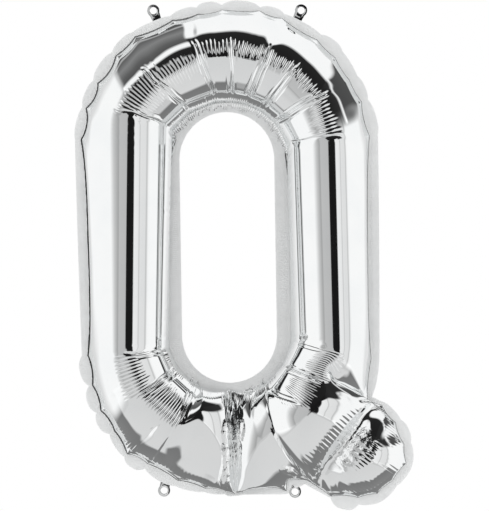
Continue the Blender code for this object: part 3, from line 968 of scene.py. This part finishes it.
class Nodes:
    # adds nodes to a tree and hands back their outputs
    def __init__(self, tree):
        self.tree = tree
        tree.nodes.clear()

    def node(self, kind, inputs=None, output=0, **settings):
        made = self.tree.nodes.new(kind)
        for key, setting in settings.items():
            setattr(made, key, setting)
        for key, given in (inputs or {}).items():
            if isinstance(given, Value):
                self.tree.links.new(given.socket, made.inputs[key])
            else:
                made.inputs[key].default_value = given
        return Value(self, made.outputs[output]) if made.outputs else None

    def sum(self, operation, *values):
        return self.node("ShaderNodeMath", dict(enumerate(values)), operation=operation)

    def between(self, value, low, high, fromEnd=0.0, toEnd=1.0):
        names = {"Value": value, "From Min": low, "From Max": high, "To Min": fromEnd, "To Max": toEnd}
        return self.node("ShaderNodeMapRange", names, interpolation_type="SMOOTHSTEP")

    def ramp(self, label, stops, share):
        glow = self.node("ShaderNodeValToRGB", {"Fac": share}, label=label)
        elements = glow.socket.node.color_ramp.elements
        while len(elements) < len(stops):
            elements.new(0.5)
        for element, (position, grey) in zip(elements, stops):
            element.position = position
            element.color = (grey, grey, grey, 1)
        return glow

    def noise(self, place, scale, detail):
        return self.node("ShaderNodeTexNoise", {"Vector": place, "Scale": scale, "Detail": detail})

    def blend(self, share, first, second):
        return self.node("ShaderNodeMix", {0: share, 6: (*first, 1), 7: (*second, 1)}, 2, data_type="RGBA")

    def bump(self, strength, distance, height, **more):
        inputs = {"Strength": strength, "Distance": distance, "Height": height, **more}
        return self.node("ShaderNodeBump", inputs)

    def surface(self, inputs):
        shader = self.node("ShaderNodeBsdfPrincipled", inputs)
        self.node("ShaderNodeOutputMaterial", {"Surface": shader})


def newMaterial(name, colour):
    material = bpy.data.materials.new(name)
    material.use_nodes = True
    material.diffuse_color = (*colour, 1)
    nodes = Nodes(material.node_tree)
    return material, nodes, nodes.node("ShaderNodeTexCoord", output="Object")


silver = {
    "colour": (0.93, 0.94, 0.94), "cloudy": (0.90, 0.915, 0.92),
    "haze": 0.035, "smear": 0.03, "crumpled": 0.1,                  # roughness, and what is added to it
    "ripple": 0.05, "rippleHigh": 0.0002, "facetHigh": 0.00007}     # a bump's strength, and heights in metres


def silverFilm():
    material, nodes, place = newMaterial("silverFilm", silver["colour"])
    cloud = nodes.noise(place, 38.0, 3.0)
    grain = nodes.noise(place, 900.0, 2.0)
    where = nodes.node("ShaderNodeAttribute", output=2, attribute_name="crumple")
    roughness = silver["haze"] + nodes.between(cloud, 0.4, 0.7) * silver["smear"] + where * silver["crumpled"]
    colour = nodes.blend(nodes.between(cloud, 0.3, 0.75), silver["colour"], silver["cloudy"])
    ripple = nodes.bump(silver["ripple"], silver["rippleHigh"], cloud + grain * 0.04)
    facets = nodes.node("ShaderNodeTexVoronoi", {"Vector": place, "Scale": 640.0}, distance="MANHATTAN")
    folds = nodes.bump(1.0, silver["facetHigh"], facets * where, Normal=ripple)
    nodes.surface({"Base Color": colour, "Metallic": 1.0, "Roughness": roughness, "Normal": folds})
    return material


sealed = {
    "colour": (0.93, 0.94, 0.94), "cloudy": (0.89, 0.90, 0.90), "roughness": 0.5, "uneven": 0.12,
    "grain": 0.25, "grainHigh": 0.0001}


def sealedFilm(name, metal):
    material, nodes, place = newMaterial(name, sealed["colour"])
    grain = nodes.noise(place, 1400.0, 3.0)
    cloud = nodes.noise(place, 120.0, 2.0)
    roughness = sealed["roughness"] + (cloud - 0.5) * sealed["uneven"]
    colour = nodes.blend(nodes.between(cloud, 0.3, 0.7), sealed["colour"], sealed["cloudy"])
    bump = nodes.bump(sealed["grain"], sealed["grainHigh"], grain + cloud * 2.0)
    nodes.surface({"Base Color": colour, "Metallic": metal, "Roughness": roughness, "Normal": bump})
    return material


clear = {"colour": (0.8, 0.82, 0.82), "cloudy": (0.7, 0.73, 0.74), "grain": 0.2, "grainHigh": 0.0001}


def valveFilm():
    material, nodes, place = newMaterial("valveFilm", clear["colour"])
    cloud = nodes.noise(place, 300.0, 3.0)
    bump = nodes.bump(clear["grain"], clear["grainHigh"], cloud)
    colour = nodes.blend(nodes.between(cloud, 0.35, 0.7), clear["colour"], clear["cloudy"])
    roughness = nodes.between(cloud, 0.3, 0.7, 0.22, 0.4)
    nodes.surface({"Base Color": colour, "Metallic": 0.0, "Roughness": roughness, "Normal": bump})
    return material


paint = (0.9, 0.9, 0.9)


def floorPaint():
    material, nodes, place = newMaterial("floorPaint", paint)
    roughness = nodes.between(nodes.noise(place, 2.0, 2.0), 0.3, 0.7, 0.5, 0.7)
    nodes.surface({"Base Color": (*paint, 1), "Roughness": roughness})
    return material


# The balloon

silverFoil = silverFilm()
rimFoil = sealedFilm("rimFilm", 0.1)
counterFoil = sealedFilm("counterFilm", 0.32)
sheet, inflated = blowUp()
filmPiece("frontFilm", closeUp(inflated, sheet, 11), -1, silverFoil, "front_sheet")
filmPiece("backFilm", closeUp(inflated, sheet, 23), 1, silverFoil, "back_sheet")
print("film sheets made")

# The rim's band: how far it reaches under the film, how far its lobes stray to the front or back, the height
# of its ripple and the length in mesh columns, and how square the lobes are
rimBand = {"under": 0.8, "wave": 0.5, "ripple": 0.06, "rippleLength": 3.7, "squareness": 2.6, "seed": 5}


def unit(vectors):
    return vectors / np.linalg.norm(vectors, axis=-1, keepdims=True)


def rimEdge():
    # The band's outer edge runs in lobes from notch to notch, square to the chord between them at the middle.
    weld, segment, share = weldLine(1)
    tips = np.array([(pinch.x, pinch.z) for pinch in rimPinches])
    chords = np.roll(tips, -1, 0) - tips
    out = unit(chords)[:, ::-1] * (1, -1)
    corner = unit(np.roll(out, 1, 0) + out)
    t = share[:, None]
    fromStart = corner[segment] * (1 - 2 * t) + out[segment] * 2 * t
    toEnd = out[segment] * (2 - 2 * t) + np.roll(corner, -1, 0)[segment] * (2 * t - 1)
    notch, lobe = (np.array([[getattr(pinch, key)] for pinch in rimPinches]) for key in ("notch", "lobe"))
    after = np.roll(notch, -1, 0)
    swell = (lobe - (notch + after) / 2)[segment] * (1 - abs(2 * t - 1) ** rimBand["squareness"])
    width = notch[segment] * (1 - t) + after[segment] * t + swell
    edge = tips[segment] + chords[segment] * t + unit(np.where(t < 0.5, fromStart, toEnd)) * width
    return weld, segment, share, edge


weld, segment, share, edge = rimEdge()
rng = np.random.default_rng(rimBand["seed"])
sway = rng.normal(0, rimBand["wave"], len(rimPinches))[segment] * np.sin(math.pi * share)
sway += rimBand["ripple"] * np.sin(np.arange(len(weld)) * 2 * math.pi / rimBand["rippleLength"])
# A band's section, as shares of its width and of its thickness
section = [
    (0.0, -0.5), (0.12, -0.5), (0.3, -0.47), (0.5, -0.45), (0.7, -0.42), (0.86, -0.38), (0.96, -0.3),
    (1.0, -0.12)]
section += [(share, -height) for share, height in reversed(section)]
hidden = weld - unit(edge - weld) * rimBand["under"]
rimWeld = bandPiece(
    "rimWeld", hidden, edge, lambda share: sway * share * share, rimFoil, "outer_seam", section)

counterBand = {"under": 0.8, "columns": 480}


def counterLines():
    steps = np.arange(counterBand["columns"] // 4) * 4 / counterBand["columns"]
    places = [("top", math.pi * t) for t in steps] + [("side", (-1, t)) for t in steps]
    places += [("bottom", math.pi + math.pi * t) for t in steps] + [("side", (1, 1 - t)) for t in steps]
    wide, high = letter["counterWeld"]
    sizes = (letter["counterEdge"], (wide + counterBand["under"], high + counterBand["under"]))
    return [np.array([counterPoint(*place, *size) for place in places]) for size in sizes]


counterInner, counterOuter = counterLines()
counterWeld = bandPiece(
    "counterWeld", counterOuter, counterInner, lambda share: 0.0, counterFoil, "counter_seam", section)
print("weld bands made")

# Fine ribs that the welding bars leave across both bands, in mm. Each is as long as a share of the band's
# width, times a random number between the two of uneven.
ribs = {
    "spacing": 1.45, "thick": 0.1, "high": 0.225, "sides": 6, "long": 0.66, "uneven": (0.6, 1.0), "seed": 3}


def ribTree():
    tree = bpy.data.node_groups.new("weldRibs", "GeometryNodeTree")
    given = {"Lines": "Geometry", "Spacing": "Float", "Thickness": "Float", "Seed": "Int", "Film": "Material"}
    for name, kind in given.items():
        tree.interface.new_socket(name, in_out="INPUT", socket_type="NodeSocket" + kind)
    tree.interface.new_socket("Ribs", in_out="OUTPUT", socket_type="NodeSocketGeometry")
    group = Nodes(tree)
    lines, spacing, thickness, seed, film = (group.node("NodeGroupInput", output=k) for k in range(5))
    curve = group.node("GeometryNodeMeshToCurve", {"Mesh": lines})
    points = group.node("GeometryNodeCurveToPoints", {"Curve": curve, "Length": spacing}, mode="LENGTH")
    across, reach = (
        group.node("GeometryNodeInputNamedAttribute", {"Name": name}, data_type=kind)
        for name, kind in (("across", "FLOAT_VECTOR"), ("reach", "FLOAT")))
    turn = group.node("FunctionNodeAlignRotationToVector", {"Vector": across}, axis="Z")
    low, high = ribs["uneven"]
    uneven = group.node("FunctionNodeRandomValue", {2: low, 3: high, "Seed": seed}, 1, data_type="FLOAT")
    size = group.node("ShaderNodeCombineXYZ", {"X": thickness, "Y": thickness, "Z": reach * uneven})
    bar = group.node("GeometryNodeMeshCylinder", {"Vertices": ribs["sides"], "Radius": 1.0, "Depth": 1.0})
    placed = group.node("GeometryNodeInstanceOnPoints", {
        "Points": points, "Instance": bar, "Rotation": turn, "Scale": size})
    solid = group.node("GeometryNodeRealizeInstances", {"Geometry": placed})
    coloured = group.node("GeometryNodeSetMaterial", {"Geometry": solid, "Material": film})
    group.node("NodeGroupOutput", {"Ribs": coloured})
    return tree


def addRibs(band, inner, outer, lift, tree, film):
    # The ribs are set along one line down the middle of each face of the band.
    count = len(inner)
    middle, reach = (inner + outer) / 2, outer - inner
    points, edges = [], []
    for side, high in enumerate((-ribs["high"], ribs["high"])):
        y = np.zeros(count) + lift + high
        points.append(np.stack([middle[:, 0], y, middle[:, 1]], -1) * mm)
        edges += [(side * count + k, side * count + (k + 1) % count) for k in range(count)]
    mesh = bpy.data.meshes.new("ribLines")
    mesh.from_pydata(np.concatenate(points).tolist(), edges, [])
    away = np.stack([reach[:, 0], np.zeros(count), reach[:, 1]], -1)
    addAttribute(mesh, "across", "FLOAT_VECTOR", np.tile(away, (2, 1)))
    addAttribute(mesh, "reach", "FLOAT", np.tile(np.linalg.norm(reach, axis=1) * ribs["long"] * mm, 2))
    lines = newObject("ribLines", mesh)
    modifier = lines.modifiers.new("ribs", "NODES")
    modifier.node_group = tree
    given = {
        "Spacing": ribs["spacing"] * mm, "Thickness": ribs["thick"] * mm, "Seed": ribs["seed"], "Film": film}
    for item in tree.interface.items_tree:
        if item.name in given:
            modifier[item.identifier] = given[item.name]
    lines.update_tag()
    evaluated = lines.evaluated_get(bpy.context.evaluated_depsgraph_get())
    made = bpy.data.meshes.new_from_object(evaluated)
    made.shade_smooth()
    bpy.data.objects.remove(lines)
    joined = bmesh.new()
    joined.from_mesh(band.data)
    joined.from_mesh(made)
    joined.to_mesh(band.data)
    joined.free()
    print(f"{band.name}: {len(made.polygons) // (ribs['sides'] + 2)} ribs")


ribbing = ribTree()
addRibs(rimWeld, weld, edge, sway / 4, ribbing, rimFoil)
addRibs(counterWeld, counterInner, counterOuter, 0, ribbing, counterFoil)

# Eyelet tabs: x and z of the hole, the way that the tab points in degrees, and from the hole to its root
tabs = {
    "hanging_tab_top_left": (-53.1, -0.1, 112, 11.2),
    "hanging_tab_top_right": (53.4, 0.1, 66, 11.2),
    "hanging_tab_bottom_left": (-45.3, -345.6, 262, 10.4),
    "hanging_tab_bottom_right": (49.0, -346.5, 278, 8.2),
}
tabShape = {"radius": 4.5, "hole": 2.45, "rootHalf": 3.1, "lift": 1.15, "steps": 64, "rootCosine": -0.62}
tabSection = [
    (0.0, -0.3), (0.04, -0.6), (0.14, -0.8), (0.28, -0.62), (0.4, -0.45), (0.7, -0.45), (0.9, -0.45),
    (0.98, -0.35), (1.0, -0.1), (1.0, 0.1), (0.98, 0.35), (0.9, 0.45), (0.4, 0.45), (0.28, 0.62), (0.14, 0.8),
    (0.04, 0.6), (0.0, 0.3)]


def pointing(degrees):
    turn = math.radians(degrees)
    return np.array([math.cos(turn), math.sin(turn)]), np.array([-math.sin(turn), math.cos(turn)])


def tabPiece(node, x, z, pointsTo, neck):
    # The round edge turns into a straight root where the ray's cosine is below rootCosine.
    outward, sideways = pointing(pointsTo)
    centre = np.array([x, z])
    rootSine = math.sin(math.acos(tabShape["rootCosine"]))
    inner, outer = [], []
    for k in range(tabShape["steps"]):
        spin = 2 * math.pi * k / tabShape["steps"]
        ray = outward * math.cos(spin) + sideways * math.sin(spin)
        inner.append(centre + ray * tabShape["hole"])
        if math.cos(spin) < tabShape["rootCosine"]:
            across = math.sin(spin) / rootSine
            outer.append(centre - outward * neck + sideways * across * tabShape["rootHalf"])
        else:
            outer.append(centre + ray * tabShape["radius"])
    name = node.replace("hanging_tab", "eyeletTab")
    inner, outer = np.array(inner), np.array(outer)
    bandPiece(name, inner, outer, lambda share: tabShape["lift"], silverFoil, node, tabSection)


for node, place in tabs.items():
    tabPiece(node, *place)
print("tabs made")

# The valve's strip in mm: taper is the share of its width that its free end loses
valve = {
    "middle": (84.6, -354.4), "pointsTo": 270, "halfWidth": 4.5, "out": 3.8, "length": 7.6, "front": 0.85,
    "taper": 0.12, "swell": 0.28, "channels": 0.09, "lengthSteps": 24, "widthSteps": 32, "roundedSteps": 1.5}


def valvePiece():
    # a flat strip of clear film with welded channels along it
    outward, sideways = pointing(valve["pointsTo"])
    long, wide = valve["lengthSteps"], valve["widthSteps"]
    verts, faces = [], []
    for face in (0, 1):
        for a in range(long + 1):
            for b in range(wide + 1):
                share = 2 * b / wide - 1
                across = share * valve["halfWidth"] * (1 - valve["taper"] * max(0, 1 - a / 4))
                swell = valve["swell"] * math.cos(share * math.pi * 0.5) ** 2
                swell += valve["channels"] * math.cos(share * 14)
                edge = min(1, min(a, long - a, b, wide - b) / valve["roundedSteps"])
                y = valve["front"] + face * (plyThick * (0.6 + 0.4 * edge) + swell * edge)
                along = valve["out"] - valve["length"] * a / long
                x, z = np.array(valve["middle"]) + outward * along + sideways * across
                verts.append((x * mm, y * mm, z * mm))
    grid = np.arange(len(verts) // 2).reshape(long + 1, wide + 1)
    for a in range(long):
        for k in grid[a, :-1].tolist():
            corners = (k, k + 1, k + wide + 2, k + wide + 1)
            faces += [corners, tuple(grid.size + corner for corner in (corners[0], *corners[:0:-1]))]
    rim = np.concatenate([grid[0], grid[1:, -1], grid[-1, -2::-1], grid[-2:0:-1, 0]]).tolist()
    for here, after in zip(rim, rim[1:] + rim[:1]):
        faces.append((here, grid.size + here, grid.size + after, after))
    piece = newPiece("valveStrip", verts, faces, valveFilm(), "inflation_valve")
    facing = bmesh.new()
    facing.from_mesh(piece.data)
    bmesh.ops.recalc_face_normals(facing, faces=facing.faces)
    facing.to_mesh(piece.data)
    facing.free()


valvePiece()
print("valve made")

# Studio

studio = {
    "floor": -0.62, "floorSize": 1.9, "cameraAway": 3.0, "aim": (0.0126, -0.1764), "frameHeight": 0.3679}


def studioFloor():
    mesh = bpy.data.meshes.new("studioFloor")
    half, low = studio["floorSize"], studio["floor"]
    corners = [(-half, -half - 1, low), (half, -half - 1, low), (half, half, low), (-half, half, low)]
    mesh.from_pydata(corners, [], [(0, 1, 2, 3)])
    mesh.materials.append(floorPaint())
    floor = newObject("studioFloor", mesh)
    floor.visible_glossy = False


# What the film mirrors, as panels round the line of sight: name, from and to in degrees anticlockwise from
# the right, softness of both edges, and the brightness by degrees away from the line of sight
panels = (
    ("right", -28, 14, 4, (
        (0, 0.01), (18, 0.01), (20, 0.9), (33, 0.84), (35, 0.55), (37, 0.8), (52, 0.78), (55, 0.55),
        (60, 0.97), (66, 1.0), (115, 1.0), (124, 0.82), (158, 0.82), (166, 0.5))),
    ("upperRight", 14, 37, 1.5, (
        (0, 0.01), (28, 0.01), (34, 0.02), (66, 0.03), (74, 1.0), (80, 0.07), (164, 0.1), (172, 0.8),
        (180, 0.8))),
    ("top", 37, 109, 2, ((0, 0.01), (64, 0.02), (72, 1.0), (180, 1.0))),
    ("upperLeft", 109, 146, 1.5, (
        (0, 0.01), (29, 0.02), (37, 1.0), (49, 1.0), (58, 0.09), (72, 0.12), (96, 0.24), (114, 0.12),
        (119, 0.5), (123, 0.1), (164, 0.08), (172, 0.7), (180, 0.8))),
    ("left", 146, 208, 5, (
        (0, 0.01), (3, 0.01), (4.5, 0.52), (28, 0.54), (30, 0.38), (31.5, 0.42), (40, 0.62), (50, 1.0),
        (106, 1.0), (124, 0.76), (150, 0.68), (160, 0.08), (180, 0.05))),
    ("floorLeft", 208, 256, 7, (
        (0, 0.01), (6, 0.01), (8, 0.68), (80, 0.72), (85, 0.2), (126, 0.24), (132, 0.85), (150, 0.85),
        (175, 0.7))),
    ("floor", 256, 332, 7, (
        (0, 0.01), (6, 0.01), (8, 0.68), (66, 0.72), (71, 0.2), (112, 0.24), (118, 0.9), (150, 0.9),
        (175, 0.75))),
)
levelBand = 0.09        # directions this near to level count as level, so that upright bands stay straight


def studioWorld():
    world = bpy.data.worlds.new("studio")
    bpy.context.scene.world = world
    world.use_nodes = True
    nodes = Nodes(world.node_tree)
    direction = nodes.node("ShaderNodeTexCoord", output="Generated")
    dx, dy, dz = (nodes.node("ShaderNodeSeparateXYZ", {0: direction}, output=k) for k in range(3))
    degrees = 180 / math.pi
    away = nodes.sum("ARCCOSINE", dy * -1.0) * degrees
    level = nodes.node("ShaderNodeClamp", {"Value": dz, "Min": -levelBand, "Max": levelBand})
    turn = nodes.sum("ARCTAN2", dz - level, dx) * degrees
    light = 0.0
    for name, start, end, soft, stops in panels:
        glow = nodes.ramp(name, [(angle / 180, grey) for angle, grey in stops], away / 180.0)
        inside = nodes.between(turn, start - soft, start + soft) - nodes.between(turn, end - soft, end + soft)
        if end > 180:
            again = nodes.between(turn + 360.0, start - soft, start + soft)
            inside = inside + again - nodes.between(turn + 360.0, end - soft, end + soft)
        light = glow * inside + light
    # The camera and rough surfaces see plain white.
    seen = nodes.node("ShaderNodeLightPath", output="Is Camera Ray")
    scattered = nodes.node("ShaderNodeLightPath", output="Is Diffuse Ray")
    plain = nodes.sum("MAXIMUM", seen, scattered)
    light = light * (1.0 - plain) + plain
    background = nodes.node("ShaderNodeBackground", {"Color": light, "Strength": 1.0})
    nodes.node("ShaderNodeOutputWorld", {"Surface": background})


def studioCamera():
    lens = bpy.data.cameras.new("camera")
    lens.sensor_fit = "VERTICAL"
    lens.sensor_height = 24
    lens.lens = lens.sensor_height * studio["cameraAway"] / studio["frameHeight"]
    lens.clip_end = 20
    camera = newObject("camera", lens)
    camera.location = (studio["aim"][0], -studio["cameraAway"], studio["aim"][1])
    camera.rotation_euler = (math.pi / 2, 0, 0)
    bpy.context.scene.camera = camera


studioFloor()
studioWorld()
studioCamera()
bpy.context.scene.view_settings.view_transform = "Standard"
